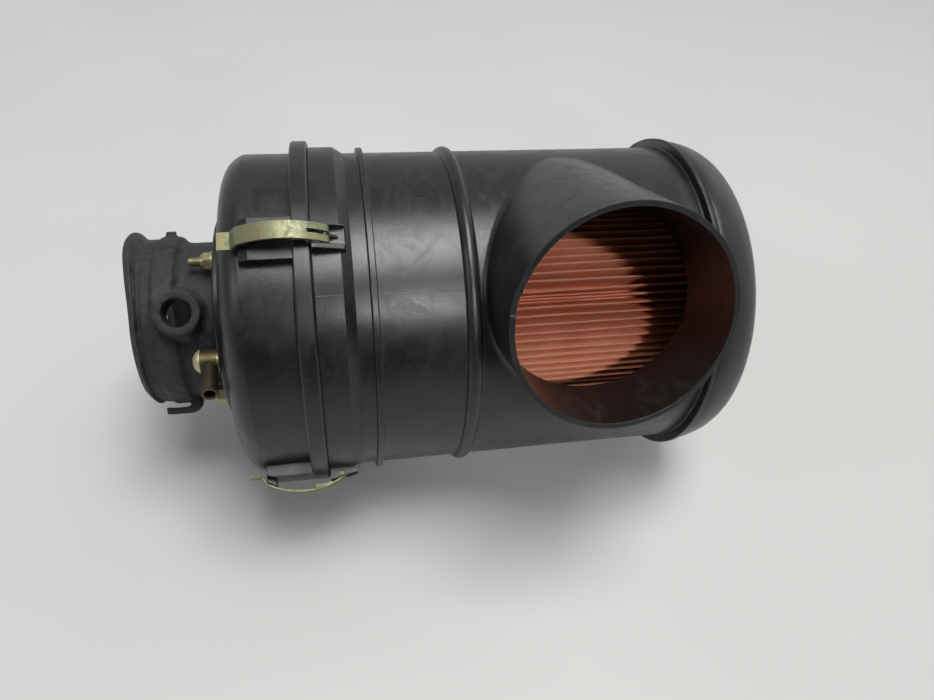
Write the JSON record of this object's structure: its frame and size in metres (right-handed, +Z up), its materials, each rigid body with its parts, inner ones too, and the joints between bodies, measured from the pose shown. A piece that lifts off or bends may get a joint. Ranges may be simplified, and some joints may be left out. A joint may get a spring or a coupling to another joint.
{
  "type": "intake air cleaner",
  "caption": "Dry intake air cleaner: horizontal plastic canister with latched cover, rubber outlet neck, tangential inlet port and a pleated paper element.",
  "frame": {"origin": "on the canister's axis, in the middle of the mounting-band seat", "axes": "+X along the canister's axis from the outlet neck to the closed end, +Z up as it lies on its rims, -Y towards the side that the inlet port faces"},
  "size_m": [0.397, 0.2574, 0.2708],
  "materials": {
    "housing_plastic": "satin moulded black plastic",
    "neck_rubber": "worn black rubber",
    "seal_rubber": "matte",
    "cap_rubber": "matte moulded polyurethane",
    "filter_paper": "resin-treated filter paper",
    "liner_steel": "galvanised perforated sheet",
    "latch_zinc": "yellow zinc plated spring steel",
    "fastener_zinc": "yellow zinc plated",
    "fitting_zinc": "yellow zinc plated, satin",
    "fitting_tube_metal": "tarnished brass"
  },
  "bodies": {
    "housing": {"body_shell": "housing_plastic", "port_shell": "housing_plastic", "end_dome": "housing_plastic", "hinge_pin_1": "fastener_zinc", "hinge_pin_2": "fastener_zinc", "hinge_pin_3": "fastener_zinc", "hinge_pin_4": "fastener_zinc"},
    "cover": {"cover_shell": "housing_plastic", "cover_seal": "seal_rubber", "outlet_neck": "neck_rubber", "neck_ring": "housing_plastic", "neck_gasket": "seal_rubber", "stud_1": "fastener_zinc", "washer_1": "fastener_zinc", "nut_1": "fastener_zinc", "stud_2": "fastener_zinc", "washer_2": "fastener_zinc", "nut_2": "fastener_zinc", "stud_3": "fastener_zinc", "washer_3": "fastener_zinc", "nut_3": "fastener_zinc", "stud_4": "fastener_zinc", "washer_4": "fastener_zinc", "nut_4": "fastener_zinc", "fitting_body": "fitting_zinc", "fitting_head": "fitting_zinc", "fitting_washer": "fastener_zinc", "fitting_tube": "fitting_tube_metal"},
    "element": {"pleat_pack": "filter_paper", "inner_liner": "liner_steel", "end_cap_open": "cap_rubber", "element_seal": "cap_rubber", "end_cap_closed": "cap_rubber"},
    "latch_1": {"latch_strip_1": "latch_zinc", "latch_leaf_1": "latch_zinc"},
    "latch_2": {"latch_strip_2": "latch_zinc", "latch_leaf_2": "latch_zinc"},
    "latch_3": {"latch_strip_3": "latch_zinc", "latch_leaf_3": "latch_zinc"},
    "latch_4": {"latch_strip_4": "latch_zinc", "latch_leaf_4": "latch_zinc"}
  },
  "joints": [
    {"name": "cover_slide", "type": "slide", "parent": "housing", "child": "cover", "axis": [-1, 0, 0], "range_m": [0, 0.27]},
    {"name": "element_slide", "type": "slide", "parent": "housing", "child": "element", "axis": [-1, 0, 0], "range_m": [0, 0.25]},
    {"name": "latch_1_swing", "type": "hinge", "parent": "housing", "child": "latch_1", "pos_m": [-0.05123, -0.04306, 0.10396], "axis": [0, 0.9239, 0.3827], "range_deg": [0, 125]},
    {"name": "latch_2_swing", "type": "hinge", "parent": "housing", "child": "latch_2", "pos_m": [-0.05123, 0.10396, 0.04306], "axis": [0, 0.3827, -0.9239], "range_deg": [0, 125]},
    {"name": "latch_3_swing", "type": "hinge", "parent": "housing", "child": "latch_3", "pos_m": [-0.05123, 0.04306, -0.10396], "axis": [0, -0.9239, -0.3827], "range_deg": [0, 125]},
    {"name": "latch_4_swing", "type": "hinge", "parent": "housing", "child": "latch_4", "pos_m": [-0.05123, -0.10396, -0.04306], "axis": [0, -0.3827, 0.9239], "range_deg": [0, 125]}
  ],
  "couplings": [
    {"joint": "element_slide", "follows": "cover_slide", "ratio": 0.92},
    {"joint": "latch_1_swing", "follows": "cover_slide", "rad_per_m": 8},
    {"joint": "latch_2_swing", "follows": "cover_slide", "rad_per_m": 8},
    {"joint": "latch_3_swing", "follows": "cover_slide", "rad_per_m": 8},
    {"joint": "latch_4_swing", "follows": "cover_slide", "rad_per_m": 8}
  ]
}
